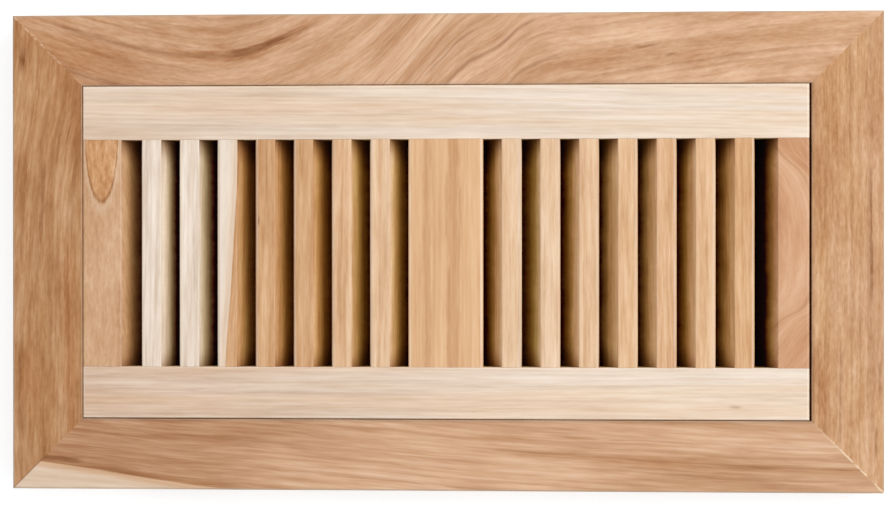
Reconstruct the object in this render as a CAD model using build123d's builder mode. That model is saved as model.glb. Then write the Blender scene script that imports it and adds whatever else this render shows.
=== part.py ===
from build123d import *
import os
from math import radians, sqrt, tan

# Flush-mount wooden floor register: a mitred hardwood frame that is let into the floor, and a louvred
# grille that drops into it. X runs along the register, Y across it and Z up. The origin is the middle
# of the underside, which lies on the subfloor. Lengths are in millimetres and angles in degrees.

# Frame: four mitred members of one L-section, with a ledge that carries the grille
duct_length = 253.6
duct_width = 101.8
ledge_width = 13.6
ledge_thickness = 6.3
face_width = 27.4
frame_thickness = 19.0
frame_arris = 0.8
pocket_arris = 0.4

# Hidden splines that key the mitres together
spline_thickness = 3.0
spline_reach = 7.0
spline_cover = 3.0
spline_corner = 1.5
spline_play = 0.1

# Play round the grille in its pocket: it lies against the left and back of it
gap_left = 0.1
gap_right = 0.8
gap_front = 0.2
gap_back = 0.15

# Grille: two long rails, two ends, a centre bar and slanted louvres that throw the air outwards
rail_width_front = 20.0
rail_width_back = 20.9
end_width_left = 15.1
end_width_right = 11.9
end_slot_left = 7.1
end_slot_right = 8.0
grille_arris = 1.0
seam_arris = 0.3
centre_bar_width = 30.6
louvres_per_side = 7
louvre_width = 8.4
louvre_slant = 30.0
louvre_nose = 1.2
louvre_arris = 0.5

# Stopped housings in the rails, and the tongues that are glued into them
tongue_length = 6.0
tongue_drop = 4.0
tongue_inset = 4.0
tongue_end_gap = 0.3
joint_play = 0.1

# Sizes that follow from those above
pocket_length = duct_length + 2 * ledge_width
pocket_width = duct_width + 2 * ledge_width
frame_length = pocket_length + 2 * face_width
frame_width = pocket_width + 2 * face_width

grille_length = pocket_length - gap_left - gap_right
grille_width = pocket_width - gap_front - gap_back
grille_thickness = frame_thickness - ledge_thickness
grille_x = (gap_left - gap_right) / 2
grille_y = (gap_front - gap_back) / 2
louvre_span = grille_width - rail_width_front - rail_width_back
tongue_top = frame_thickness - tongue_drop

left_border = end_width_left + end_slot_left
right_border = end_width_right + end_slot_right
louvre_reach = (grille_length - left_border - right_border) / 2
louvre_pitch = (louvre_reach - centre_bar_width / 2) / louvres_per_side
centre_x = grille_x + (left_border - right_border) / 2
centre_y = grille_y + (rail_width_front - rail_width_back) / 2

spline_stop = spline_reach + sqrt(2) * spline_cover
spline_length = sqrt(2) * face_width - spline_stop - spline_cover
spline_middle = (ledge_thickness + frame_thickness) / 2

# A cut through the middle of the centre bar, seen from the front with X to the right and Z up
cross_section = Plane(origin=(centre_x, centre_y, 0), x_dir=(1, 0, 0), z_dir=(0, -1, 0))


def write(part, label):
    """Names a finished piece and writes it to its own file."""
    part.label = label
    export_step(part, f"parts/{label}.step")


def mitre_plane(side, base, run, across):
    """The vertical 45-degree plane at one end of a frame member, facing away from the member."""
    corner = base.from_local_coords(Vector(side * run / 2, -across / 2, 0))
    facing = base.x_dir * side + base.y_dir
    return Plane(origin=corner, x_dir=base.y_dir - base.x_dir * side, z_dir=facing)


def spline_plane(mitre):
    """A level plane centred on a mitre's spline, with its X along the mitre."""
    middle = mitre.origin + mitre.x_dir * (spline_stop + spline_length / 2)
    return Plane(origin=middle + Vector(0, 0, spline_middle), x_dir=mitre.x_dir, z_dir=(0, 0, 1))


def frame_member(label, turn, run, across):
    """One side of the frame, an L-section with mitred ends, each slotted for a spline."""
    base = Plane.XY.rotated((0, 0, turn))
    with BuildPart() as member:
        with BuildSketch(Plane(origin=(0, 0, 0), x_dir=base.y_dir, z_dir=base.x_dir)):
            outer = -across / 2
            pocket = outer + face_width
            lip = pocket + ledge_width
            with BuildLine():
                Polyline(
                    (outer, 0),
                    (lip, 0),
                    (lip, ledge_thickness),
                    (pocket, ledge_thickness),
                    (pocket, frame_thickness),
                    (outer, frame_thickness),
                    close=True,
                )
            make_face()
        extrude(amount=run / 2, both=True)
        top_edges = member.edges().filter_by(Axis((0, 0, 0), base.x_dir)).group_by(Axis.Z)[-1]
        inner_edge, outer_edge = top_edges.sort_by(Axis((0, 0, 0), -base.y_dir))
        fillet(outer_edge, radius=frame_arris)
        fillet(inner_edge, radius=pocket_arris)
        for side in (-1, 1):
            mitre = mitre_plane(side, base, run, across)
            split(bisect_by=mitre, keep=Keep.BOTTOM)
            with BuildSketch(spline_plane(mitre)):
                RectangleRounded(
                    spline_length + 2 * spline_play,
                    2 * (spline_reach + spline_play),
                    spline_corner + spline_play,
                )
            extrude(amount=spline_thickness / 2 + spline_play, both=True, mode=Mode.SUBTRACT)
    write(member.part, label)


def mitre_spline(label, side, turn, run, across):
    """The loose wooden key that bridges one mitre."""
    base = Plane.XY.rotated((0, 0, turn))
    with BuildPart() as spline:
        with BuildSketch(spline_plane(mitre_plane(side, base, run, across))):
            RectangleRounded(spline_length, 2 * spline_reach, spline_corner)
        extrude(amount=spline_thickness / 2, both=True)
    write(spline.part, label)


def slanted(top_x, z):
    """Where a slanted wall of the right-hand half stands at height z, if its top edge is at top_x."""
    return top_x - (frame_thickness - z) * tan(radians(louvre_slant))


def louvre_section(side, place, top):
    """A louvre's corners up to a height: place counts outwards from the centre bar."""
    outer = centre_bar_width / 2 + place * louvre_pitch
    inner = outer - louvre_width
    corners = [
        (slanted(inner, ledge_thickness), ledge_thickness),
        (slanted(outer, ledge_thickness), ledge_thickness),
        (slanted(outer, top), top),
        (slanted(inner, top), top),
    ]
    return [(side * x, z) for x, z in corners]


def end_section(side, inner, outer, top):
    """An end's corners up to a height, with its slanted wall towards the louvres."""
    corners = [
        (slanted(inner, ledge_thickness), ledge_thickness),
        (outer, ledge_thickness),
        (outer, top),
        (slanted(inner, top), top),
    ]
    return [(side * x, z) for x, z in corners]


def centre_section(top):
    """The centre bar's corners up to a height: it narrows downwards, along the louvres' slant."""
    foot = slanted(centre_bar_width / 2, ledge_thickness)
    head = slanted(centre_bar_width / 2, top)
    return [(-foot, ledge_thickness), (foot, ledge_thickness), (head, top), (-head, top)]


def crosspiece(label, section, tongue, left_round, right_round):
    """A bar between the rails: its section over the span, and a lower tongue at each end."""
    with BuildPart() as bar:
        with BuildSketch(cross_section):
            with BuildLine():
                Polyline(*section, close=True)
            make_face()
        extrude(amount=louvre_span / 2, both=True)
        left_edge, right_edge = bar.edges().filter_by(Axis.Y).group_by(Axis.Z)[-1].sort_by(Axis.X)
        fillet(left_edge, radius=left_round)
        fillet(right_edge, radius=right_round)
        with BuildSketch(cross_section):
            with BuildLine():
                Polyline(*tongue, close=True)
            make_face()
        extrude(amount=louvre_span / 2 + tongue_length, both=True)
    write(bar.part, label)


def grille_rail(label, side, width, tongues):
    """A long rail, at the front for side -1 and at the back for side 1, with its stopped housings."""
    outwards = Axis((0, 0, 0), (0, side, 0))
    with BuildPart() as rail:
        with BuildSketch(Plane.XY.offset(ledge_thickness)):
            with Locations((grille_x, centre_y + side * (louvre_span + width) / 2)):
                Rectangle(grille_length, width)
        extrude(amount=grille_thickness)
        fillet(rail.faces().sort_by(Axis.Z)[-1].edges().sort_by(outwards)[1:], radius=grille_arris)
        fillet(rail.faces().sort_by(Axis.Z)[-1].edges().sort_by(outwards)[0], radius=seam_arris)
        with BuildSketch(cross_section.offset(-side * louvre_span / 2)):
            for tongue in tongues:
                with BuildLine():
                    Polyline(*tongue, close=True)
                make_face()
            offset(amount=joint_play, kind=Kind.INTERSECTION)
        extrude(amount=-side * (tongue_length + tongue_end_gap), mode=Mode.SUBTRACT)
    write(rail.part, label)


os.makedirs("parts", exist_ok=True)

# Frame members and the splines in their mitres, going round from the front
frame_member("frame_front", 0, frame_length, frame_width)
frame_member("frame_right", 90, frame_width, frame_length)
frame_member("frame_back", 180, frame_length, frame_width)
frame_member("frame_left", 270, frame_width, frame_length)
mitre_spline("mitre_spline_front_left", -1, 0, frame_length, frame_width)
mitre_spline("mitre_spline_front_right", 1, 0, frame_length, frame_width)
mitre_spline("mitre_spline_back_right", -1, 180, frame_length, frame_width)
mitre_spline("mitre_spline_back_left", 1, 180, frame_length, frame_width)

# Crosspieces of the grille, and the tongues that the rails are housed for
tongues = [centre_section(tongue_top)]
crosspiece("grille_centre_bar", centre_section(frame_thickness), tongues[0], louvre_nose, louvre_nose)
for side, hand, slot, width in (
    (-1, "left", end_slot_left, end_width_left),
    (1, "right", end_slot_right, end_width_right),
):
    inner = louvre_reach + slot
    outer = inner + width
    tongue = end_section(side, inner, outer - tongue_inset, tongue_top)
    section = end_section(side, inner, outer, frame_thickness)
    left_round, right_round = (grille_arris, louvre_arris) if side < 0 else (louvre_arris, grille_arris)
    crosspiece(f"grille_end_{hand}", section, tongue, left_round, right_round)
    tongues.append(tongue)
    left_round, right_round = (louvre_nose, louvre_arris) if side < 0 else (louvre_arris, louvre_nose)
    for place in range(1, louvres_per_side + 1):
        tongue = louvre_section(side, place, tongue_top)
        section = louvre_section(side, place, frame_thickness)
        crosspiece(f"louvre_{hand}_{place}", section, tongue, left_round, right_round)
        tongues.append(tongue)

grille_rail("grille_rail_front", -1, rail_width_front, tongues)
grille_rail("grille_rail_back", 1, rail_width_back, tongues)
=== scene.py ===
from dataclasses import dataclass, replace
from math import radians

import bpy
from bpy.props import FloatProperty, FloatVectorProperty, PointerProperty
from mathutils import Euler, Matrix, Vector


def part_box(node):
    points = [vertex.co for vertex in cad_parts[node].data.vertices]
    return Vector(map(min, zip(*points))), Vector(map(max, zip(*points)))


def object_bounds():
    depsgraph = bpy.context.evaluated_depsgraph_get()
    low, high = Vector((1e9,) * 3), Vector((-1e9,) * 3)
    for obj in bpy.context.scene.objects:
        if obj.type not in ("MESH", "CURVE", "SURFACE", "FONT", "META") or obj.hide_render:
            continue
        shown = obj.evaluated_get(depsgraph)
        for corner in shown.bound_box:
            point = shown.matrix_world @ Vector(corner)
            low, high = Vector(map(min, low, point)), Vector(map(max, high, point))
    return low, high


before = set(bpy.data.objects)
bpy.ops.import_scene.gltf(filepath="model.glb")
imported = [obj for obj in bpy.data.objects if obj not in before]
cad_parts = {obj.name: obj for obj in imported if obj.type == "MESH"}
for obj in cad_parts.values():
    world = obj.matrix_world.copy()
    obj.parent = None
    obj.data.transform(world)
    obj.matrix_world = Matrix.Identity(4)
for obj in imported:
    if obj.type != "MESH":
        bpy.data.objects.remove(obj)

bl_info = {
    "name": "Wooden Floor Register",
    "version": (1, 0, 0),
    "blender": (4, 5, 0),
    "location": "View3D > Sidebar > Register",
    "description": "Gives a flush-mount wooden floor register its wood, its light and its camera",
    "category": "Object",
}

MM_PER_M = 1000.0
NUMBER, VECTOR, PAINT = "NodeSocketFloat", "NodeSocketVector", "NodeSocketColor"

# The model's own measures, in metres
cad_low, cad_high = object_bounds()
half_length = cad_high.x
half_width = cad_high.y
face_width = 0.0274              # the flat face of a frame member, from its outer edge to the pocket
duct_half_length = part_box("frame_right")[0][0]
duct_half_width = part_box("frame_back")[0][1]

# Where the painted shade between the louvres lies, in millimetres
face_height = cad_high.z * MM_PER_M
slot_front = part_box("grille_rail_front")[1][1] * MM_PER_M
slot_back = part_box("grille_rail_back")[0][1] * MM_PER_M
painted_shade_depth = 11.5                # where it is thickest, below the face

# The gloss of sanded wood with no finish on it
bare_wood_specular = 0.2

# The stage, with its lengths in metres
floor_size = 12.0
floor_drop = 0.0004              # how far the floor lies below the register
shade_sheet_drop = 0.0002              # how far the black sheet of painted shade under the louvres does, just above the floor
camera_near = 0.01
# Black of the sheet of painted shade under the louvres
shade_sheet_black = (0.004, 0.003, 0.002, 1.0)
white = (1.0, 1.0, 1.0, 1.0)


def srgb(red, green, blue):
    """A colour as it looks on screen, 0 to 255, turned into the linear values that a shader takes."""
    def linear(value):
        share = value / 255
        return share / 12.92 if share <= 0.04045 else ((share + 0.055) / 1.055) ** 2.4
    return linear(red), linear(green), linear(blue)


def colour(name, description, red, green, blue):
    """A colour property with its default given as it looks on screen."""
    return FloatVectorProperty(
        name=name, description=description, subtype="COLOR", size=3, min=0.0, max=1.0,
        default=srgb(red, green, blue),
    )


class FLOORREG_PG_wood(bpy.types.PropertyGroup):
    """Colours of the timber and the depth of its grain"""
    frame_brown: colour("Frame brown", "Heartwood of the frame", 203, 157, 119)
    frame_rose: colour("Frame rose", "Paler, rosier bands in the frame's heartwood", 222, 180, 146)
    frame_dark: colour("Frame dark", "Darker heartwood of the frame's left side", 182, 132, 88)
    frame_olive: colour("Frame olive", "Paler bands in the frame's left side", 190, 143, 102)
    frame_tan: colour("Frame tan", "Yellower wood of the frame's right side and some louvres", 206, 158, 114)
    rust: colour("Rust", "Reddish streaks in the heartwood", 180, 120, 72)
    ring_line: colour("Ring line", "Late wood at the end of each year's ring", 158, 106, 62)
    knot: colour("Knot", "Darkest lines and small knots", 118, 62, 18)
    sapwood: colour("Sapwood", "Pale outer wood of the tree", 238, 221, 204)
    sapwood_warm: colour("Warm sapwood", "Warmer bands in the sapwood, and its inner edge", 232, 205, 178)
    sapwood_rose: colour("Rosy sapwood", "Sapwood of the frame", 226, 200, 175)
    halo: colour("Halo", "Palest sapwood, right next to the heartwood", 248, 236, 222)
    sapwood_line: colour("Sapwood line", "Late wood in the sapwood", 220, 190, 160)
    umber: colour("Umber", "Darkest heartwood of the louvres", 218, 172, 128)
    tan: colour("Tan", "Heartwood of the grille", 221, 177, 136)
    amber: colour("Amber", "Yellower heartwood of the louvres", 227, 186, 145)
    end_tan: colour("End tan", "Duller wood of the left end and beside the frame's sapwood", 214, 172, 134)
    end_rose: colour("End rose", "Rosier heartwood of the grille's right end", 212, 163, 126)
    end_brown: colour("End brown", "Heart of the grille's left end", 212, 161, 115)
    bar_tan: colour("Bar tan", "Heartwood of the grille's centre bar", 229, 185, 142)
    honey: colour("Honey", "Paler heartwood of the grille", 230, 192, 154)
    cream: colour("Cream", "Palest heartwood of the grille", 236, 204, 172)
    grille_line: colour("Grille line", "Ring lines in the grille's heartwood", 192, 138, 92)
    spline_wood: colour("Spline wood", "Sawn wood of the splines in the mitres", 222, 188, 152)
    # Painted highlight: the pale colour painted on the eased edges so that they look lit
    eased: colour("Eased edge", "Painted highlight along the eased edges", 252, 236, 216)
    # Painted shade and reflection: the grey line painted along the frame's edges
    painted_frame_edge: colour("Painted frame edge", "Painted grey line of shade and reflection along the frame's edges", 188, 168, 147)
    worn: colour("Worn edge", "Greyer wood along the louvres' noses", 222, 203, 184)
    glue: colour("Glue", "Dried glue that shows as a thin pale line in the mitres", 252, 228, 196)
    grain_relief: FloatProperty(
        name="Grain relief", description="Depth of the open grain", subtype="DISTANCE", unit="LENGTH",
        default=0.0001)


class FLOORREG_PG_stage(bpy.types.PropertyGroup):
    """Camera, light and floor"""
    lens: FloatProperty(
        name="Lens", description="Focal length of the camera", subtype="DISTANCE_CAMERA", unit="CAMERA",
        default=85.0)
    camera_place: FloatVectorProperty(
        name="Camera place", description="Where the camera hangs over the register", subtype="TRANSLATION",
        unit="LENGTH", size=3, default=(0.04595, 0.00228, 0.82892))
    camera_turn: FloatVectorProperty(
        name="Camera turn", description="How the camera leans away from looking straight down",
        subtype="EULER", unit="ROTATION", size=3,
        default=(radians(-0.174), radians(3.1544), radians(-0.0204)))
    lamp_place: FloatVectorProperty(
        name="Lamp place", description="Where the softbox hangs, to the right and behind",
        subtype="TRANSLATION", unit="LENGTH", size=3, default=(1.0, 0.5, 0.95))
    lamp_size: FloatProperty(
        name="Lamp size", description="Side of the square softbox", subtype="DISTANCE", unit="LENGTH",
        default=1.0)
    lamp_power: FloatProperty(
        name="Lamp power", description="Power of the softbox", subtype="POWER", unit="POWER", default=9.5)
    sky_strength: FloatProperty(
        name="Sky strength", description="Even light of the white tent all round", min=0.0, default=0.75)
    floor: colour("Floor", "Plain pale floor", 214, 219, 222)
    floor_glow: FloatProperty(
        name="Floor glow", description="What lifts the floor to white in the camera's view", min=0.0,
        default=0.54)


class FLOORREG_PG_settings(bpy.types.PropertyGroup):
    """All the settings of the floor register"""
    wood: PointerProperty(type=FLOORREG_PG_wood, name="Wood", description="Timber of the register")
    stage: PointerProperty(type=FLOORREG_PG_stage, name="Stage", description="Camera, light and floor")


class Nodes:
    """Adds nodes to a node tree, with a value or a link for each input."""

    def __init__(self, tree):
        self.tree = tree

    def add(self, kind, inputs=None, **settings):
        node = self.tree.nodes.new(kind)
        for name, value in settings.items():
            setattr(node, name, value)
        for socket, value in (inputs or {}).items():
            if isinstance(value, bpy.types.NodeSocket):
                self.tree.links.new(value, node.inputs[socket])
            else:
                node.inputs[socket].default_value = value
        return node

    def group(self, tree, **inputs):
        """Places a node group: each input is named as its socket is, in small letters."""
        named = {name.replace("_", " ").title(): value for name, value in inputs.items()}
        return self.add("ShaderNodeGroup", named, node_tree=tree).outputs

    def math(self, operation, *values):
        return self.add("ShaderNodeMath", dict(enumerate(values)), operation=operation).outputs[0]

    def product(self, *values):
        result = values[0]
        for value in values[1:]:
            result = self.math("MULTIPLY", result, value)
        return result

    def scaled(self, vector, *scale):
        return self.add("ShaderNodeVectorMath", {0: vector, 1: scale}, operation="MULTIPLY").outputs[0]

    def split(self, vector):
        return self.add("ShaderNodeSeparateXYZ", {0: vector}).outputs

    def joined(self, x, y, z):
        return self.add("ShaderNodeCombineXYZ", {0: x, 1: y, 2: z}).outputs[0]

    def noise(self, vector, detail=2.0, roughness=0.5):
        inputs = {"Vector": vector, "Scale": 1.0, "Detail": detail, "Roughness": roughness}
        return self.add("ShaderNodeTexNoise", inputs).outputs

    def streaks(self, grain, along, across, detail=2.0, roughness=0.5, depth=None):
        """Noise drawn out along the grain, by how fine it is along, across and below it (per mm)."""
        return self.noise(self.scaled(grain, along, across, depth or across), detail, roughness)[0]

    def centred(self, *streaks):
        """The same, about zero."""
        return self.math("SUBTRACT", self.streaks(*streaks), 0.5)

    def fade(self, value, start, stop, first=0.0, last=1.0):
        """A smooth step from the first result to the last."""
        inputs = {"Value": value, "From Min": start, "From Max": stop, "To Min": first, "To Max": last}
        return self.add("ShaderNodeMapRange", inputs, interpolation_type="SMOOTHSTEP").outputs[0]

    def ramp(self, value, start, stop):
        """A straight step from 0 to 1."""
        inputs = {"Value": value, "From Min": start, "From Max": stop}
        return self.add("ShaderNodeMapRange", inputs).outputs[0]

    def mix(self, share, first, second, blend="MIX"):
        inputs = {0: share, 6: first, 7: second}
        return self.add("ShaderNodeMix", inputs, data_type="RGBA", blend_type=blend).outputs[2]


def new_group(name, inputs, outputs):
    """A shader node group with named sockets: each input has its type and default, each output its type."""
    tree = bpy.data.node_groups.new(name, "ShaderNodeTree")
    for label, (kind, default) in inputs.items():
        socket = tree.interface.new_socket(label, in_out="INPUT", socket_type=kind)
        if default is not None:
            socket.default_value = default
    for label, kind in outputs.items():
        tree.interface.new_socket(label, in_out="OUTPUT", socket_type=kind)
    nodes = Nodes(tree)
    return nodes, nodes.add("NodeGroupInput").outputs


def rgba(values):
    """A colour of three values, made opaque."""
    return (*values, 1.0)


def grain_path_group():
    """Where a point lies along, across and below the grain, which sweeps over the board and wanders."""
    nodes, source = new_group(
        "Grain Path",
        {"Position": (VECTOR, None), "Sweep": (NUMBER, 0.0), "Wander": (NUMBER, 3.0)},
        {"Grain": VECTOR},
    )
    along, across, depth = nodes.split(source["Position"])
    slow = nodes.split(nodes.noise(nodes.scaled(source["Position"], 0.007, 0.025, 0.025), 2.0)[1])
    sideways = nodes.math("MULTIPLY", nodes.math("SUBTRACT", slow[0], 0.5), source["Wander"])
    downwards = nodes.math("MULTIPLY", nodes.math("SUBTRACT", slow[1], 0.5), source["Wander"])
    across = nodes.math("ADD", across, nodes.math("ADD", sideways, source["Sweep"]))
    depth = nodes.math("ADD", depth, downwards)
    nodes.add("NodeGroupOutput", {"Grain": nodes.joined(along, across, depth)})
    return nodes.tree


def grain_mark_group():
    """One line of the figure, which follows the grain and frays at its sides and ends."""
    nodes, source = new_group(
        "Grain Mark",
        {
            "Grain": (VECTOR, None),
            "Place": (NUMBER, 0.0),
            "Width": (NUMBER, 1.0),
            "Start": (NUMBER, -100.0),
            "Stop": (NUMBER, 100.0),
            "Strength": (NUMBER, 0.6),
        },
        {"Mask": NUMBER},
    )
    along, across, _ = nodes.split(source["Grain"])
    frayed = nodes.centred(source["Grain"], 0.09, 0.7, 3.0, 0.6)
    off = nodes.math("ABSOLUTE", nodes.math("SUBTRACT", across, source["Place"]))
    off = nodes.math("DIVIDE", off, source["Width"])
    off = nodes.math("MULTIPLY_ADD", frayed, 1.6, off)
    end_off = nodes.math("MAXIMUM", nodes.math("SUBTRACT", source["Start"], along),
                         nodes.math("SUBTRACT", along, source["Stop"]))
    end_off = nodes.math("DIVIDE", end_off, source["Width"])
    mask = nodes.product(nodes.fade(off, 0.1, 1.0, 1.0, 0.0), nodes.fade(end_off, -2.0, 2.0, 1.0, 0.0),
                         source["Strength"])
    nodes.add("NodeGroupOutput", {"Mask": mask})
    return nodes.tree


def solid_wood_group():
    """Solid wood in millimetres: year rings round the heart, streaks and flecks along the grain, sapwood."""
    nodes, source = new_group(
        "Solid Wood",
        {
            "Grain": (VECTOR, None),
            "Dark Mark": (NUMBER, 0.0),
            "Red Mark": (NUMBER, 0.0),
            "Fibre Length": (NUMBER, 1.0),
            "Ring Width": (NUMBER, 4.0),
            "Ring Strength": (NUMBER, 0.5),
            "Tone Strength": (NUMBER, 1.0),
            "Streak Strength": (NUMBER, 1.0),
            "Mottle Strength": (NUMBER, 0.5),
            "Fleck Strength": (NUMBER, 1.0),
            "Rust Strength": (NUMBER, 0.2),
            "Sapwood Radius": (NUMBER, 10000.0),
            "Sapwood Slope": (NUMBER, 0.0),
            "Border Width": (NUMBER, -4.0),
            "Border Strength": (NUMBER, 0.55),
            "Halo Width": (NUMBER, 1.0),
            "Halo Strength": (NUMBER, 0.0),
            "Wood": (PAINT, (0.6, 0.35, 0.18, 1.0)),
            "Band": (PAINT, (0.7, 0.45, 0.28, 1.0)),
            "Line": (PAINT, (0.3, 0.14, 0.05, 1.0)),
            "Knot": (PAINT, (0.22, 0.08, 0.03, 1.0)),
            "Rust": (PAINT, (0.5, 0.22, 0.09, 1.0)),
            "Sapwood": (PAINT, (0.8, 0.7, 0.6, 1.0)),
            "Halo": (PAINT, (0.9, 0.8, 0.7, 1.0)),
        },
        {"Color": PAINT, "Roughness": NUMBER, "Height": NUMBER},
    )
    along, across, depth = nodes.split(source["Grain"])
    grain = nodes.joined(nodes.math("DIVIDE", along, source["Fibre Length"]), across, depth)

    # Streaks of several lengths along the grain
    bands = nodes.fade(nodes.streaks(grain, 0.012, 0.1, 3.0, 0.6), 0.34, 0.66)
    tone = nodes.centred(grain, 0.02, 0.05)
    mottle = nodes.centred(grain, 0.07, 0.2, 3.0, 0.65)
    long_streaks = nodes.centred(grain, 0.02, 0.4, 3.0, 0.6)
    short_streaks = nodes.centred(grain, 0.08, 0.85, 2.0, 0.6)
    flecks = nodes.centred(grain, 0.3, 1.1, 2.0, 0.6)

    # Year rings: each darkens slowly to its late wood, frays along the fibres and ends sharply
    radius = nodes.math("SQRT", nodes.math("ADD", nodes.product(across, across), nodes.product(depth, depth)))
    years = nodes.math("DIVIDE", radius, source["Ring Width"])
    uneven = nodes.noise(nodes.joined(0.0, nodes.math("MULTIPLY", years, 0.37), 0.0), 1.0)[0]
    years = nodes.math("MULTIPLY_ADD", uneven, 2.4, years)
    years = nodes.math("MULTIPLY_ADD", short_streaks, 0.45, years)
    part_of_year = nodes.math("FRACT", years)
    vigour = nodes.add("ShaderNodeTexWhiteNoise", {"W": nodes.math("FLOOR", years)}, noise_dimensions="1D")
    patches = nodes.streaks(grain, 0.012, 0.09)
    late = nodes.product(
        nodes.fade(part_of_year, 0.3, 0.92), nodes.fade(part_of_year, 0.92, 1.0, 1.0, 0.0),
        nodes.fade(vigour.outputs["Value"], 0.0, 1.0, 0.1, 1.0), nodes.fade(patches, 0.38, 0.62, 0.3, 1.0))

    # Sapwood outside the heartwood, with a darker line where they meet: its width counts inwards, below zero
    limit = nodes.math("MULTIPLY_ADD", along, source["Sapwood Slope"], source["Sapwood Radius"])
    rim = nodes.math("MULTIPLY_ADD", short_streaks, 0.3, nodes.math("SUBTRACT", radius, limit))
    sapwood = nodes.fade(rim, -0.3, 0.4)
    border = nodes.math("MULTIPLY", nodes.fade(rim, source["Border Width"], -0.1),
                        nodes.math("SUBTRACT", 1.0, sapwood))

    # Colour
    shade = nodes.mix(bands, source["Wood"], source["Band"])
    rusty = nodes.streaks(grain, 0.03, 0.12, 3.0, 0.6)
    rusty = nodes.math("MULTIPLY", nodes.fade(rusty, 0.46, 0.66), source["Rust Strength"])
    shade = nodes.mix(nodes.math("MAXIMUM", rusty, source["Red Mark"]), shade, source["Rust"])
    marks = nodes.math("MAXIMUM", nodes.math("MULTIPLY", late, source["Ring Strength"]),
                       nodes.math("MULTIPLY", border, source["Border Strength"]))
    shade = nodes.mix(marks, shade, source["Line"])
    shade = nodes.mix(source["Dark Mark"], shade, source["Knot"])
    halo = nodes.math("SUBTRACT", 1.0, nodes.math("DIVIDE", rim, source["Halo Width"]))
    halo = nodes.math("MULTIPLY", nodes.fade(halo, 0.0, 0.8), source["Halo Strength"])
    shade = nodes.mix(sapwood, shade, nodes.mix(halo, source["Sapwood"], source["Halo"]))
    lift = nodes.product(nodes.math("ADD", long_streaks, short_streaks), source["Streak Strength"], 0.4)
    lift = nodes.math("ADD", lift, nodes.product(mottle, source["Mottle Strength"], 0.5))
    lift = nodes.math("MULTIPLY_ADD", tone, source["Tone Strength"], lift)
    lift = nodes.math("MULTIPLY_ADD", flecks, nodes.math("MULTIPLY", source["Fleck Strength"], 0.4), lift)
    lift = nodes.math("MULTIPLY", lift, nodes.math("MULTIPLY_ADD", sapwood, -0.45, 1.0))
    level = nodes.math("MULTIPLY_ADD", lift, 0.5, 1.0)
    shade = nodes.mix(1.0, shade, nodes.joined(level, level, level), "MULTIPLY")
    depth_of_shade = nodes.math("SUBTRACT", 1.0, lift)
    shade = nodes.add("ShaderNodeGamma", {"Color": shade, "Gamma": depth_of_shade}).outputs[0]

    # Relief and polish
    height = nodes.math("MULTIPLY_ADD", flecks, 0.8, nodes.math("ADD", short_streaks, 0.5))
    rough = nodes.math("MULTIPLY_ADD", late, -0.1, nodes.math("MULTIPLY_ADD", flecks, -0.2, 0.66))
    nodes.add("NodeGroupOutput", {"Color": shade, "Roughness": rough, "Height": height})
    return nodes.tree


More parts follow.
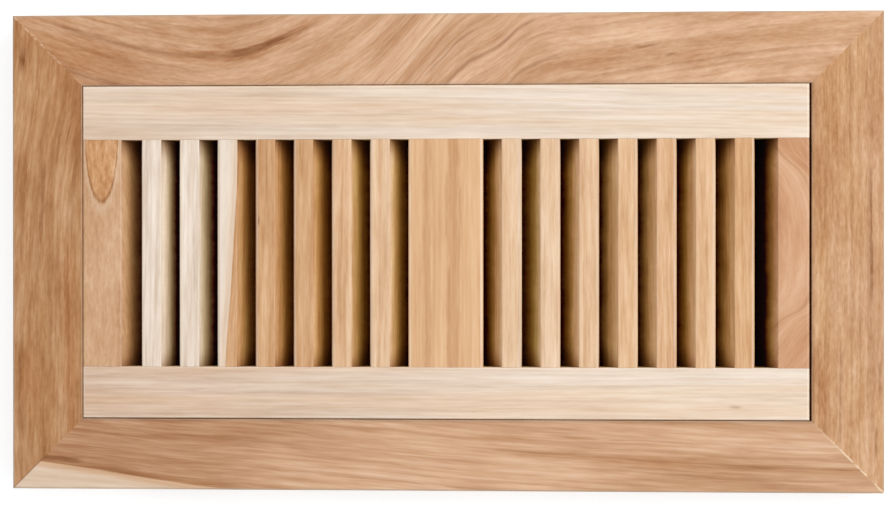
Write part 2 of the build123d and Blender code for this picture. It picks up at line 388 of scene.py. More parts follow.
def worked_and_painted_faces_group():
    """What tools left, and painted light and shade: saw marks, painted highlights and grey lines on the eased
    edges, painted shade between the louvres and along the pocket's edge.
    """
    nodes, source = new_group(
        "Worked and Painted Faces",
        {
            "Color": (PAINT, (0.6, 0.35, 0.18, 1.0)),
            "Roughness": (NUMBER, 0.6),
            "Height": (NUMBER, 0.5),
            "Grain": (VECTOR, None),
            "Eased": (PAINT, (0.9, 0.8, 0.7, 1.0)),
            "Eased Strength": (NUMBER, 0.4),
            "Eased Side": (VECTOR, None),
            "Painted Shade Strength": (NUMBER, 0.0),
            "Painted Shade Start": (NUMBER, 0.5),
            "Painted Shade Power": (NUMBER, 1.3),
            "Painted Shade Unevenness": (NUMBER, 3.0),
            "Warmth": (NUMBER, 1.0),
            "Redness": (NUMBER, 1.0),
            "Painted Corner Shade": (NUMBER, 0.0),
            "Grime": (NUMBER, 0.0),
        },
        {"Color": PAINT, "Roughness": NUMBER, "Height": NUMBER},
    )
    own = nodes.add("ShaderNodeTexCoord").outputs
    up = nodes.split(own["Normal"])[2]
    sideways = nodes.add("ShaderNodeVectorMath", {0: own["Normal"], 1: source["Eased Side"]},
                         operation="DOT_PRODUCT").outputs["Value"]
    sawn = nodes.fade(up, 0.51, 0.62, 1.0, 0.0)
    # Painted highlight along the eased edges that face the given side, broken into duller patches; on the
    # frame the paint is a grey line of shade and reflection
    eased = nodes.product(nodes.fade(up, 0.55, 0.85), nodes.fade(up, 0.985, 0.9995, 1.0, 0.0),
                          nodes.fade(sideways, -0.25, -0.05))
    worn = nodes.streaks(source["Grain"], 0.06, 0.3, 3.0, 0.6)
    eased = nodes.product(eased, nodes.fade(worn, 0.3, 0.6, 0.4, 1.0), source["Eased Strength"])
    blade = nodes.centred(source["Grain"], 0.4, 0.06, 4.0, 0.65, 0.12)
    blade = nodes.math("MULTIPLY", blade, sawn)
    shade = nodes.mix(eased, source["Color"], source["Eased"])

    # Painted shade: walls that don't face down are darkened more the deeper they lie, with a painted warm
    # tint of bounce light
    red_loss, dull_loss = 0.82, 0.92
    orange_loss, yellow_loss = 0.24, 0.75
    painted_shade_walls = nodes.math("MULTIPLY", sawn, nodes.fade(up, -0.4, -0.1))
    lengthwise, crosswise, upwards = nodes.split(own["Object"])
    below = nodes.math("MULTIPLY_ADD", upwards, -MM_PER_M, face_height)
    warm = nodes.math("POWER", nodes.ramp(below, 0.5, painted_shade_depth), 0.8)
    warm = nodes.math("MULTIPLY_ADD", warm, 0.87, 0.13)
    warm = nodes.product(warm, painted_shade_walls, nodes.math("MINIMUM", source["Painted Shade Strength"], 1.0))
    uneven = nodes.centred(source["Grain"], 0.08, 0.05, 3.0, 0.6)
    uneven = nodes.math("MULTIPLY_ADD", uneven, source["Painted Shade Unevenness"], below)
    deep = nodes.ramp(uneven, source["Painted Shade Start"], painted_shade_depth)
    painted_shade = nodes.product(nodes.math("POWER", deep, source["Painted Shade Power"]), source["Painted Shade Strength"],
                         nodes.math("MULTIPLY_ADD", blade, 0.4, 1.0))
    painted_shade = nodes.math("MULTIPLY", nodes.math("MINIMUM", painted_shade, 1.2), painted_shade_walls)
    red = nodes.math("MULTIPLY_ADD", painted_shade, -red_loss, 1.0)
    dull = nodes.math("MAXIMUM", nodes.math("MULTIPLY_ADD", painted_shade, -dull_loss, 1.0), 0.0)
    orange = nodes.math("MULTIPLY", warm, source["Redness"])
    green = nodes.math("MULTIPLY", dull, nodes.math("MULTIPLY_ADD", orange, -orange_loss, 1.0))
    yellow = nodes.math("MULTIPLY", dull, nodes.math("MULTIPLY_ADD", warm, -yellow_loss, 1.0))
    yellow = nodes.math("MULTIPLY", nodes.math("SUBTRACT", 1.0, yellow), source["Warmth"])
    blue = nodes.math("MULTIPLY", dull, nodes.math("SUBTRACT", 1.0, yellow))
    shade = nodes.mix(1.0, shade, nodes.joined(red, green, blue), "MULTIPLY")

    # Painted shade in the corners next to the rails, which reaches further out of them lower down
    to_back = nodes.math("MULTIPLY_ADD", crosswise, -MM_PER_M, slot_back)
    to_back = nodes.math("MULTIPLY_ADD", below, -0.7, to_back)
    to_front = nodes.math("MULTIPLY_ADD", crosswise, MM_PER_M, -slot_front)
    to_front = nodes.math("MULTIPLY_ADD", below, -0.6, to_front)
    corner = nodes.math("MULTIPLY", nodes.fade(to_back, -3.5, 8.5, 0.18, 1.0),
                        nodes.fade(to_front, -5.0, 7.0, 0.3, 1.0))
    corner = nodes.math("MULTIPLY", nodes.math("SUBTRACT", corner, 1.0), source["Painted Corner Shade"])
    corner = nodes.math("MULTIPLY_ADD", corner, painted_shade_walls, 1.0)

    # Painted shade along the edge of the frame's pocket: it darkens the wood together with the painted corner
    # shade and the saw marks
    beyond_end = nodes.math("SUBTRACT", nodes.math("ABSOLUTE", lengthwise), half_length - face_width)
    beyond_side = nodes.math("SUBTRACT", nodes.math("ABSOLUTE", crosswise), half_width - face_width)
    beyond = nodes.math("MULTIPLY", nodes.math("MAXIMUM", beyond_end, beyond_side), MM_PER_M)
    grime = nodes.math("MULTIPLY", nodes.fade(beyond, 0.2, 1.8, 1.0, 0.0), source["Grime"])
    level = nodes.math("MULTIPLY_ADD", blade, 0.2, nodes.math("SUBTRACT", 1.0, grime))
    shares = [nodes.math("MULTIPLY", nodes.math("POWER", corner, power), level) for power in (0.8, 1.0, 1.2)]
    shade = nodes.mix(1.0, shade, nodes.joined(*shares), "MULTIPLY")

    # Relief and polish
    rough = nodes.math("MULTIPLY_ADD", eased, -0.1, source["Roughness"])
    rough = nodes.math("MULTIPLY_ADD", sawn, 0.16, rough)
    height = nodes.math("MULTIPLY_ADD", blade, 1.5, source["Height"])
    nodes.add("NodeGroupOutput", {"Color": shade, "Roughness": rough, "Height": height})
    return nodes.tree


def mitre_joint_group():
    """The mitres' joints: a thin line of dried glue, and a dark gap at the front left corner."""
    nodes, source = new_group(
        "Mitre Joint",
        {
            "Place": (VECTOR, None),
            "Front Left": (NUMBER, 0.1),
            "Front Right": (NUMBER, 0.8),
            "Back Left": (NUMBER, 0.45),
            "Back Right": (NUMBER, 0.15),
            "Front Left Gap": (NUMBER, 0.5),
        },
        {"Glue": NUMBER, "Gap": NUMBER},
    )
    x, y, _ = nodes.split(source["Place"])
    to_right = nodes.math("GREATER_THAN", x, 0.0)
    to_back = nodes.math("GREATER_THAN", y, 0.0)
    from_middle = nodes.math("ABSOLUTE", y)
    outer_edge = half_width * MM_PER_M

    def chosen(share, first, second):
        return nodes.add("ShaderNodeMix", {0: share, 2: first, 3: second}).outputs[0]

    strength = chosen(to_back, chosen(to_right, source["Front Left"], source["Front Right"]),
                      chosen(to_right, source["Back Left"], source["Back Right"]))
    overhang = (half_length - half_width) * MM_PER_M
    off = nodes.math("SUBTRACT", nodes.math("ABSOLUTE", x), from_middle)
    off = nodes.math("ABSOLUTE", nodes.math("SUBTRACT", off, overhang))
    line = nodes.fade(off, 0.1, 0.7, 1.0, 0.0)
    ragged = nodes.noise(nodes.scaled(source["Place"], 0.5, 0.5, 0.5), 3.0, 0.7)[0]
    broken = nodes.fade(nodes.math("ADD", ragged, nodes.math("MULTIPLY", strength, 0.14)), 0.5, 0.66)
    outwards = nodes.fade(from_middle, 0.7 * outer_edge, 0.87 * outer_edge, 0.1, 1.0)
    glue = nodes.product(line, broken, strength, outwards)
    at_front_left = nodes.product(nodes.math("SUBTRACT", 1.0, to_right), nodes.math("SUBTRACT", 1.0, to_back))
    gap = nodes.product(
        nodes.fade(off, 0.1, 0.6, 1.0, 0.0), at_front_left, source["Front Left Gap"],
        nodes.fade(from_middle, 0.83 * outer_edge, 0.88 * outer_edge))
    nodes.add("NodeGroupOutput", {"Glue": glue, "Gap": gap})
    return nodes.tree


@dataclass
class Mark:
    """One line of a board's figure: a place on it, and how far the line runs along the grain (mm)."""
    at: tuple                        # along the piece and across it, from its middle
    width: float
    run: tuple                       # where it starts and stops along the piece
    strength: float = 0.6


@dataclass
class Board:
    """How a piece was sawn: the way of its grain, where the tree's heart lay, and its colours."""
    grain: str                       # the register's axis that the grain follows
    heart: tuple                     # from the middle of its top to the tree's heart: across, upwards (mm)
    wood: str                        # its main colour
    band: str                        # the colour of its broad bands
    line: str                        # the colour of its rings' late wood
    outer: str = "sapwood"           # the colour of its sapwood
    turn: float = 0.0                # how far the grain turns on the face (degrees)
    dip: float = 0.0                 # how far it dips into the piece (degrees)
    shift: float = 0.0               # where along the tree the piece was sawn (mm)
    fibre_length: float = 1.0        # how much longer the streaks are than in the plainest wood
    ring_width: float = 4.0
    ring_strength: float = 0.4
    tone_strength: float = 0.8
    streak_strength: float = 1.0
    mottle_strength: float = 0.5
    fleck_strength: float = 1.0
    rust_strength: float = 0.2
    wander: float = 3.0
    sapwood_from: float = 10000.0    # distance from the heart where the sapwood starts (mm)
    sapwood_slope: float = 0.0       # how much that distance grows along the piece
    border_width: float = 4.0        # how far the wood is darker next to the sapwood (mm)
    border_strength: float = 0.55
    halo: str = "halo"               # the sapwood's colour next to the heartwood
    halo_width: float = 1.0          # how far that colour reaches (mm)
    halo_strength: float = 0.0
    sweep: tuple = ()                # points of the grain's line: along the piece (mm), across it (mm)
    dark_marks: tuple = ()
    red_marks: tuple = ()
    eased: str = "eased"             # the colour painted along its eased edges: a painted highlight, or on the frame a grey line of painted shade and reflection
    eased_strength: float = 0.5
    eased_side: tuple = (0.0, 0.0, 0.0)    # the way that those edges face, or zeros for every way
    # Painted shade on the walls between the louvres, darker deeper down, with a painted warm tint of bounce
    # light
    painted_shade_strength: float = 0.0
    painted_shade_start: float = 0.5          # how far below the face the painted shade starts (mm)
    painted_shade_power: float = 1.3
    painted_shade_unevenness: float = 3.0     # how far up and down the painted shade's edge wanders (mm)
    warmth: float = 1.0              # how yellow the painted bounce light between the louvres is
    redness: float = 1.0             # how red it is
    painted_corner_shade: float = 0.0         # how much painted shade lies next to the rails
    grime: float = 0.0               # how much painted shade there is along the pocket's edge
    glued: bool = False              # whether glue shows in its mitres


def shared_group(name, make):
    """A node group by its name, made the first time that it is asked for."""
    return bpy.data.node_groups.get(name) or make()


def swept(points, along):
    """How far the grain's line has moved across the face at one place along the piece."""
    for (x0, y0), (x1, y1) in zip(points, points[1:]):
        if x0 <= along <= x1:
            return y0 + (y1 - y0) * (along - x0) / (x1 - x0)
    return 0.0


def grain_sweep(nodes, along, points):
    """How far the grain's line has moved across the face, at every place along the piece."""
    starts = [x for x, y in points]
    rises = [y for x, y in points]
    first, last, low, high = min(starts), max(starts), min(rises), max(rises)
    curve = nodes.add("ShaderNodeFloatCurve", {"Value": nodes.ramp(along, first, last)})
    line = curve.mapping.curves[0]
    while len(line.points) < len(points):
        line.points.new(0.5, 0.5)
    for point, (x, y) in zip(line.points, points):
        point.location = ((x - first) / (last - first), (y - low) / (high - low))
    curve.mapping.update()
    # The pattern moves against the line
    return nodes.math("MULTIPLY_ADD", curve.outputs[0], low - high, -low)


def grain_marks(nodes, grain, board, marks):
    """The masks of a board's marks, laid over each other."""
    tree = shared_group("Grain Mark", grain_mark_group)
    result = 0.0
    for mark in marks:
        along, across = mark.at
        mask = nodes.group(
            tree, grain=grain, width=mark.width, strength=mark.strength,
            place=across - board.heart[0] - swept(board.sweep, along),
            start=mark.run[0] + board.shift, stop=mark.run[1] + board.shift)["Mask"]
        result = nodes.math("MAXIMUM", mask, result)
    return result


def blank_material(name):
    """A new material without nodes, and what adds nodes to it."""
    material = bpy.data.materials.new(name)
    material.use_nodes = True
    material.node_tree.nodes.clear()
    return material, Nodes(material.node_tree)


# What a board passes on to the shared groups under the same names
grain_settings = (
    "fibre_length", "ring_width", "ring_strength", "tone_strength", "streak_strength", "mottle_strength",
    "fleck_strength", "rust_strength", "sapwood_slope", "border_strength", "halo_width", "halo_strength")
face_settings = (
    "eased_strength", "eased_side", "painted_shade_strength", "painted_shade_start", "painted_shade_power", "painted_shade_unevenness", "warmth",
    "redness", "painted_corner_shade", "grime")


def wood_material(node_name, board):
    """The material of one piece, cut from the tree as its board says."""
    paints = bpy.context.scene.floor_register.wood
    material, nodes = blank_material(node_name)

    def paint(name):
        return rgba(getattr(paints, name))

    def passed_on(names):
        return {name: getattr(board, name) for name in names}

    place = nodes.add("ShaderNodeTexCoord").outputs["Object"]

    # Millimetres along, across and below the grain
    low, high = (Vector(corner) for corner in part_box(node_name))
    middle = (low + high) / 2 * MM_PER_M
    middle.z = high.z * MM_PER_M
    if board.grain == "X":
        turned = Euler((0.0, radians(board.dip), radians(board.turn)))
    else:
        turned = Euler((radians(board.dip), 0.0, radians(board.turn - 90.0)))
    start = -(turned.to_matrix() @ middle) + Vector((board.shift, -board.heart[0], -board.heart[1]))
    position = nodes.add("ShaderNodeMapping", {
        "Vector": place, "Location": start, "Rotation": turned, "Scale": (MM_PER_M,) * 3}).outputs[0]
    sweep = 0.0
    if board.sweep:
        along = nodes.math("SUBTRACT", nodes.split(position)[0], board.shift)
        sweep = grain_sweep(nodes, along, board.sweep)
    grain = nodes.group(shared_group("Grain Path", grain_path_group),
                        position=position, sweep=sweep, wander=board.wander)["Grain"]

    # The wood, what tools left on it, and its painted light and shade
    wood = nodes.group(
        shared_group("Solid Wood", solid_wood_group), grain=grain, **passed_on(grain_settings),
        dark_mark=grain_marks(nodes, grain, board, board.dark_marks),
        red_mark=grain_marks(nodes, grain, board, board.red_marks),
        border_width=-board.border_width,
        sapwood_radius=board.sapwood_from - board.sapwood_slope * board.shift,
        wood=paint(board.wood), band=paint(board.band), line=paint(board.line), knot=paint("knot"),
        rust=paint("rust"), sapwood=paint(board.outer), halo=paint(board.halo))
    worked_and_painted = nodes.group(
        shared_group("Worked and Painted Faces", worked_and_painted_faces_group), grain=grain, **passed_on(face_settings),
        color=wood["Color"], roughness=wood["Roughness"], height=wood["Height"], eased=paint(board.eased))
    shade = worked_and_painted["Color"]
    if board.glued:
        in_mm = nodes.add("ShaderNodeMapping", {"Vector": place, "Scale": (MM_PER_M,) * 3}).outputs[0]
        joint = nodes.group(shared_group("Mitre Joint", mitre_joint_group), place=in_mm)
        shade = nodes.mix(joint["Glue"], shade, paint("glue"))
        shade = nodes.mix(joint["Gap"], shade, paint("knot"))
    bump = nodes.add("ShaderNodeBump", {"Height": worked_and_painted["Height"], "Distance": paints.grain_relief})
    surface = nodes.add("ShaderNodeBsdfPrincipled", {
        "Base Color": shade, "Roughness": worked_and_painted["Roughness"], "Normal": bump.outputs[0],
        "Specular IOR Level": bare_wood_specular})
    nodes.add("ShaderNodeOutputMaterial", {"Surface": surface.outputs[0]})
    return material


def dress(node_name, board):
    """Gives one piece its own wood."""
    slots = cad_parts[node_name].data.materials
    slots.clear()
    slots.append(wood_material(node_name, board))


def frame_board(grain, heart, wood, band, **settings):
    """A frame member's board: its mitres are glued and its edges carry a painted grey line of shade and
    reflection.
    """
    return Board(grain, heart, wood, band, "ring_line", eased="painted_frame_edge", eased_strength=0.65, glued=True,
                 **settings)


def rail_board(heart, **settings):
    """A pale rail's board, with long fine streaks."""
    return Board(
        "X", heart, "sapwood", "sapwood_warm", "sapwood_line", fibre_length=2.8, ring_strength=0.5,
        tone_strength=0.2, streak_strength=1.3, mottle_strength=0.15, fleck_strength=0.6, rust_strength=0.0,
        wander=2.0, painted_shade_strength=1.0, **settings)


# How the frame's members were sawn
frame_boards = {
    "frame_back": frame_board(
        "X", (-210.0, -60.0), "frame_brown", "frame_rose", ring_width=3.2, wander=4.0, tone_strength=0.4,
        streak_strength=0.8, mottle_strength=0.7, fleck_strength=0.9, grime=0.08,
        sweep=((-168.0, 19.0), (-150.0, 12.5), (-130.0, 6.5), (-110.0, 2.3), (-95.0, 0.3), (-85.0, 0.0),
               (-75.0, 1.7), (-60.0, 7.0), (-45.0, 14.0), (-32.0, 21.5), (-20.0, 32.3), (0.0, 54.5),
               (10.0, 63.5), (20.0, 68.8), (35.0, 79.7), (45.0, 82.8), (60.0, 84.9), (100.0, 90.9),
               (120.0, 94.0), (140.0, 95.8), (168.0, 96.8)),
        dark_marks=(
            Mark((-75.5, 5.85), 1.8, (-102.0, -50.0), 0.35),
            Mark((-72.0, 7.4), 2.6, (-84.0, -58.0), 0.6),
            Mark((-140.0, -2.0), 2.0, (-160.0, -100.0), 0.3),
            Mark((-120.0, 8.0), 1.5, (-150.0, -100.0), 0.3),
            Mark((16.0, 4.5), 1.2, (0.0, 34.0), 0.4),
            Mark((2.0, 5.0), 1.0, (-6.0, 12.0), 0.3),
            Mark((32.0, -2.0), 1.2, (18.0, 44.0), 0.3),
            Mark((77.0, 6.8), 1.1, (73.5, 81.5), 0.4),
            Mark((87.2, 3.8), 0.8, (85.4, 89.0), 0.4)),
        red_marks=(
            Mark((-160.0, 0.0), 50.0, (-300.0, -110.0), 0.8),
            Mark((-74.0, 6.6), 5.0, (-112.0, -46.0), 0.6))),
    "frame_front": frame_board(
        "X", (95.0, -40.0), "frame_brown", "frame_rose", outer="sapwood_rose", ring_width=2.9, wander=2.0,
        shift=700.0, sapwood_from=118.9, sapwood_slope=0.05, border_strength=0.45, fibre_length=1.8,
        halo="end_tan", halo_width=3.2, halo_strength=0.8, tone_strength=0.5, streak_strength=1.45,
        mottle_strength=0.4, fleck_strength=0.25, grime=0.2,
        sweep=((-168.0, 0.0), (-140.0, -2.6), (-126.0, -4.0), (-112.0, -5.6), (-96.0, -7.0), (-76.0, -8.0),
               (-57.0, -9.6), (-26.0, -12.4), (20.0, -16.4), (70.0, -19.3), (128.0, -22.4), (168.0, -23.5)),
        dark_marks=(
            Mark((-160.0, 0.0), 50.0, (-300.0, -115.0), 0.32),
            Mark((-160.0, 0.0), 50.0, (-300.0, -50.0), 0.15),
            Mark((105.0, 0.0), 50.0, (80.0, 300.0), 0.1),
            Mark((-151.0, -8.8), 1.6, (-166.0, -140.0), 0.7)),
        red_marks=(Mark((-160.0, 0.0), 50.0, (-300.0, -95.0), 0.6),)),
    "frame_left": frame_board(
        "Y", (60.0, -25.0), "frame_dark", "frame_olive", wander=5.0, shift=1500.0, rust_strength=0.4,
        tone_strength=0.6, streak_strength=1.2, mottle_strength=0.8, fleck_strength=0.7, grime=0.08,
        sweep=((-92.0, 0.0), (0.0, 0.0), (30.0, -1.5), (60.0, -6.0), (92.0, -9.0)),
        dark_marks=(
            Mark((74.0, 16.4), 2.1, (71.0, 78.0), 0.9),
            Mark((20.0, 8.5), 1.6, (8.0, 34.0), 0.3),
            Mark((30.0, -4.0), 1.2, (0.0, 60.0), 0.25)),
        red_marks=(
            Mark((-24.0, -1.4), 5.0, (-57.0, 9.0), 0.6),
            Mark((-61.0, -2.2), 2.4, (-72.0, -46.0), 0.6),
            Mark((60.0, 0.0), 40.0, (20.0, 120.0), 0.45))),
    "frame_right": frame_board(
        "Y", (-70.0, -30.0), "frame_tan", "frame_brown", ring_width=4.2, shift=2300.0, fleck_strength=1.2,
        grime=0.12,
        dark_marks=(
            Mark((6.0, -15.2), 0.9, (-18.0, 31.0), 0.45),
            Mark((-73.0, -17.1), 0.9, (-78.0, -67.0), 0.35),
            Mark((-49.0, -18.6), 0.9, (-55.0, -42.0), 0.35),
            Mark((-60.0, -3.6), 0.8, (-70.0, -38.0), 0.3)),
        red_marks=(Mark((-56.0, 2.2), 3.2, (-65.0, -45.0), 0.5),)),
}

# How the grille's rails, ends and centre bar were sawn
rail_boards = {
    "grille_rail_front": rail_board(
        (-260.0, -40.0), ring_width=2.1,
        dark_marks=(Mark((112.0, -5.0), 1.0, (110.2, 113.7), 0.35),),
        red_marks=(Mark((-140.0, 0.0), 80.0, (-400.0, -60.0), 0.42),)),
    "grille_rail_back": rail_board(
        (-280.0, -40.0), ring_width=2.2, turn=0.8, shift=600.0,
        red_marks=(Mark((-140.0, 0.0), 80.0, (-400.0, -60.0), 0.2),)),
}
end_boards = {
    "grille_end_left": Board(
        "Y", (3.7, -11.25), "end_brown", "end_brown", "ring_line", outer="end_tan", dip=-14.37, shift=300.0,
        ring_width=5.0, ring_strength=0.1, streak_strength=1.4, mottle_strength=1.2, fleck_strength=1.2,
        wander=0.4, sapwood_from=6.5, border_width=0.7, border_strength=0.8, halo_width=1.6,
        halo_strength=0.12, eased_side=(1.0, 0.0, 0.0), eased_strength=0.2, painted_shade_strength=1.18,
        painted_shade_start=2.2, painted_shade_power=0.95, warmth=0.62, redness=0.62, painted_corner_shade=1.0),
    "grille_end_right": Board(
        "Y", (60.0, -30.0), "end_rose", "end_rose", "grille_line", shift=900.0, fibre_length=1.5,
        ring_strength=0.15, tone_strength=0.6, streak_strength=0.35, mottle_strength=0.8, fleck_strength=0.6,
        sweep=((-50.0, 20.0), (-44.0, 14.0), (-26.5, 2.3), (-17.7, -9.3), (4.0, -13.0), (24.6, -9.3),
               (38.8, 2.3), (50.0, 9.0)),
        dark_marks=(
            Mark((38.8, 2.3), 1.2, (22.0, 42.0), 0.16),
            Mark((-26.5, 2.3), 1.2, (-30.0, -15.0), 0.17)),
        eased_side=(1.0, 0.0, 0.0), eased_strength=0.1, painted_shade_strength=2.1, painted_corner_shade=1.0),
    "grille_centre_bar": Board(
        "Y", (50.0, -35.0), "bar_tan", "bar_tan", "grille_line", shift=1300.0, fibre_length=3.0,
        ring_width=5.0, ring_strength=0.15, tone_strength=0.2, streak_strength=0.9, mottle_strength=0.2,
        fleck_strength=0.5, rust_strength=0.1, wander=1.0, painted_shade_strength=1.0,
        red_marks=(
            Mark((0.0, 7.25), 2.2, (-60.0, 60.0), 0.36),
            Mark((0.0, -2.6), 4.0, (-60.0, 60.0), 0.42))),
}

# The louvres' woods and their bands, outwards from the centre bar
louvre_woods = {
    "left": (
        ("honey", "cream"), ("tan", "honey"), ("umber", "frame_tan"), ("umber", "frame_tan"),
        ("umber", "frame_tan"), ("sapwood", "sapwood"), ("sapwood", "sapwood")),
    "right": (
        ("honey", "cream"), ("honey", "cream"), ("honey", "honey"), ("amber", "amber"),
        ("tan", "tan"), ("amber", "amber"), ("umber", "umber")),
}

# What the louvres of one side share, what the pale ones share, and how single ones differ
louvre_sides = {
    "left": dict(eased_side=(-1.0, 0.0, 0.0)),
    "right": dict(eased_side=(1.0, 0.0, 0.0), painted_shade_start=4.1, painted_shade_power=0.9, painted_shade_unevenness=5.0),
}
pale_louvres = dict(
    line="sapwood_line", streak_strength=1.9, mottle_strength=0.3, eased="eased", painted_shade_unevenness=0.6,
    warmth=0.65, redness=0.65)
louvre_changes = {
    ("left", 2): dict(painted_shade_start=0.0, painted_shade_power=0.9),
    ("left", 4): dict(painted_shade_start=1.9, dark_marks=(Mark((12.0, 6.3), 0.8, (11.0, 13.5), 0.6),)),
    ("left", 5): dict(
        heart=(-30.0, -10.0), turn=0.0, wander=0.3, sapwood_from=32.1, border_width=0.9, border_strength=0.9,
        halo="sapwood_warm", halo_width=4.0, halo_strength=0.75, warmth=0.9, redness=0.9,
        sweep=((-50.0, 4.0), (-43.0, 3.7), (-30.0, 3.0), (-15.0, 1.7), (1.5, 0.7), (20.0, -0.4),
               (35.0, -1.1), (50.0, -1.3))),
    ("left", 6): dict(painted_shade_strength=1.62, painted_shade_start=0.0),
    ("left", 7): dict(painted_shade_strength=2.0, painted_shade_start=3.2),
    ("right", 2): dict(painted_shade_strength=1.04, painted_shade_start=0.5, painted_shade_power=0.7),
    ("right", 3): dict(painted_shade_start=3.4),
    ("right", 4): dict(painted_shade_start=6.0, warmth=0.74, redness=0.1),
    ("right", 5): dict(painted_shade_start=5.1, warmth=0.78, redness=0.2),
    ("right", 6): dict(painted_shade_strength=1.16, painted_shade_start=2.7),
    ("right", 7): dict(warmth=0.88, redness=0.4),
}


def louvre_board(hand, place):
    """The strip that one louvre was sawn from: no two are alike."""
    wood, band = louvre_woods[hand][place - 1]

    # Each strip comes from another place in the tree
    strip = place if hand == "left" else -place
    board = Board(
        "Y", (-38.0 + 5.0 * strip, -24.0 - 2.0 * place), wood, band, "grille_line", turn=0.15 * strip,
        shift=400.0 * strip, fibre_length=1.7, ring_width=3.6, ring_strength=0.35, tone_strength=0.2,
        streak_strength=1.4, mottle_strength=0.8, fleck_strength=0.6, rust_strength=0.08, wander=2.0,
        eased="worn", eased_strength=0.6, painted_shade_strength=1.12, painted_shade_power=1.08, painted_corner_shade=1.0)
    board = replace(board, **louvre_sides[hand])
    if wood == "sapwood":
        board = replace(board, **pale_louvres)
    return replace(board, **louvre_changes.get((hand, place), {}))


class FLOORREG_OT_frame(bpy.types.Operator):
    """Gives the four frame members their brown heartwood"""
    bl_idname = "floor_register.frame"
    bl_label = "Frame Members"

    def execute(self, context):
        for name, board in frame_boards.items():
            dress(name, board)
        return {"FINISHED"}


class FLOORREG_OT_splines(bpy.types.Operator):
    """Gives the hidden splines of the mitres their sawn wood"""
    bl_idname = "floor_register.splines"
    bl_label = "Mitre Splines"

    def execute(self, context):
        names = sorted(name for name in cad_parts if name.startswith("mitre_spline_"))
        for place, name in enumerate(names):
            dress(name, Board(
                "X", (40.0, -20.0), "spline_wood", "sapwood", "grille_line", turn=45.0, shift=100.0 * place))
        return {"FINISHED"}


class FLOORREG_OT_rails(bpy.types.Operator):
    """Gives the two long rails of the grille their pale sapwood"""
    bl_idname = "floor_register.rails"
    bl_label = "Grille Rails"

    def execute(self, context):
        for name, board in rail_boards.items():
            dress(name, board)
        return {"FINISHED"}


class FLOORREG_OT_ends(bpy.types.Operator):
    """Gives the ends and the centre bar of the grille their wood"""
    bl_idname = "floor_register.ends"
    bl_label = "Grille Ends and Centre Bar"

    def execute(self, context):
        for name, board in end_boards.items():
            dress(name, board)
        return {"FINISHED"}


class FLOORREG_OT_louvres(bpy.types.Operator):
    """Gives each louvre its own strip of wood"""
    bl_idname = "floor_register.louvres"
    bl_label = "Louvres"

    def execute(self, context):
        for hand, woods in louvre_woods.items():
            for place in range(1, len(woods) + 1):
                dress(f"louvre_{hand}_{place}", louvre_board(hand, place))
        return {"FINISHED"}


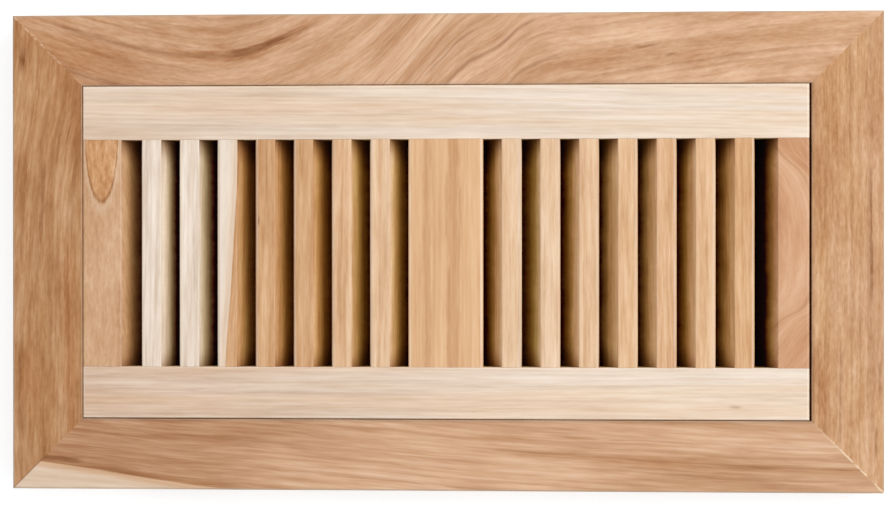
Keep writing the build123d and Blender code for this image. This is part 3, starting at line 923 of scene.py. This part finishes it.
class FLOORREG_OT_stage(bpy.types.Operator):
    """Sets the floor, the black sheet of painted shade under the louvres, the light and the camera"""
    bl_idname = "floor_register.stage"
    bl_label = "Stage"

    def execute(self, context):
        settings = context.scene.floor_register.stage
        self.lay_floor(context, settings)
        self.lay_shade_sheet(context)
        self.hang_lamp(context, settings)
        self.light_sky(context, settings)
        self.set_camera(context, settings)
        context.scene.view_settings.view_transform = "Standard"
        return {"FINISHED"}

    def lay_floor(self, context, settings):
        """A pale floor that the camera sees as white, apart from the object's shadow."""
        bpy.ops.mesh.primitive_plane_add(size=floor_size, location=(0.0, 0.0, -floor_drop))
        floor = context.object
        floor.name = "floor"
        material, nodes = blank_material("floor")
        paint = nodes.add("ShaderNodeBsdfDiffuse", {"Color": rgba(settings.floor)})
        glow = nodes.add("ShaderNodeEmission", {
            "Strength": nodes.math("MULTIPLY", self.in_view(nodes), settings.floor_glow)})
        both = nodes.add("ShaderNodeAddShader", {0: paint.outputs[0], 1: glow.outputs[0]})
        nodes.add("ShaderNodeOutputMaterial", {"Surface": both.outputs[0]})
        floor.data.materials.append(material)

    def lay_shade_sheet(self, context):
        """A black sheet of painted shade under the louvres: a plane that reaches 1 m each way, drawn in to
        the duct opening's half sizes.
        """
        bpy.ops.mesh.primitive_plane_add(size=2.0, location=(0.0, 0.0, -shade_sheet_drop))
        shade_sheet = context.object
        shade_sheet.name = "shade_sheet_under_louvres"
        shade_sheet.scale = (duct_half_length, duct_half_width, 1.0)
        material, nodes = blank_material("shade_sheet_under_louvres")
        dark = nodes.add("ShaderNodeBsdfDiffuse", {"Color": shade_sheet_black})
        nodes.add("ShaderNodeOutputMaterial", {"Surface": dark.outputs[0]})
        shade_sheet.data.materials.append(material)

    def in_view(self, nodes):
        """1 for what the camera sees, straight, mirrored or through glass, and 0 for what lights the wood."""
        ray = nodes.add("ShaderNodeLightPath").outputs
        seen = nodes.math("MAXIMUM", ray["Is Camera Ray"], ray["Is Glossy Ray"])
        return nodes.math("MAXIMUM", seen, ray["Is Transmission Ray"])

    def hang_lamp(self, context, settings):
        """One large softbox that faces the register."""
        lamp = bpy.data.lights.new("softbox", "AREA")
        lamp.shape = "SQUARE"
        lamp.size = settings.lamp_size
        lamp.energy = settings.lamp_power
        softbox = bpy.data.objects.new("softbox", lamp)
        softbox.location = settings.lamp_place
        softbox.rotation_euler = (-softbox.location).to_track_quat("-Z", "Y").to_euler()
        context.scene.collection.objects.link(softbox)

    def light_sky(self, context, settings):
        """A white tent all round: its light on the wood is set apart from the white that the camera sees."""
        world = bpy.data.worlds.new("sky")
        context.scene.world = world
        world.use_nodes = True
        world.node_tree.nodes.clear()
        nodes = Nodes(world.node_tree)
        strength = nodes.math("MAXIMUM", self.in_view(nodes), settings.sky_strength)
        sky = nodes.add("ShaderNodeBackground", {"Color": white, "Strength": strength})
        nodes.add("ShaderNodeOutputWorld", {"Surface": sky.outputs[0]})

    def set_camera(self, context, settings):
        """The camera over the register."""
        lens = bpy.data.cameras.new("camera")
        lens.lens = settings.lens
        lens.clip_start = camera_near
        camera = bpy.data.objects.new("camera", lens)
        camera.location = settings.camera_place
        camera.rotation_euler = settings.camera_turn
        context.scene.collection.objects.link(camera)
        context.scene.camera = camera


class FLOORREG_PT_panel(bpy.types.Panel):
    """Lists the steps and settings of the floor register"""
    bl_idname = "FLOORREG_PT_panel"
    bl_label = "Floor Register"
    bl_space_type = "VIEW_3D"
    bl_region_type = "UI"
    bl_category = "Register"

    def draw(self, context):
        settings = context.scene.floor_register
        for step in steps:
            self.layout.operator(step.bl_idname)
        for group in (settings.wood, settings.stage):
            box = self.layout.box()
            for name in group.bl_rna.properties.keys():
                if name not in ("rna_type", "name"):
                    box.prop(group, name)


steps = (
    FLOORREG_OT_frame,
    FLOORREG_OT_splines,
    FLOORREG_OT_rails,
    FLOORREG_OT_ends,
    FLOORREG_OT_louvres,
    FLOORREG_OT_stage,
)
classes = (FLOORREG_PG_wood, FLOORREG_PG_stage, FLOORREG_PG_settings, *steps, FLOORREG_PT_panel)


def register():
    for cls in classes:
        bpy.utils.register_class(cls)
    bpy.types.Scene.floor_register = PointerProperty(type=FLOORREG_PG_settings)


def unregister():
    del bpy.types.Scene.floor_register
    for cls in reversed(classes):
        bpy.utils.unregister_class(cls)


def main():
    register()
    bpy.ops.floor_register.frame()
    bpy.ops.floor_register.splines()
    bpy.ops.floor_register.rails()
    bpy.ops.floor_register.ends()
    bpy.ops.floor_register.louvres()
    bpy.ops.floor_register.stage()


if __name__ == "__main__":
    main()
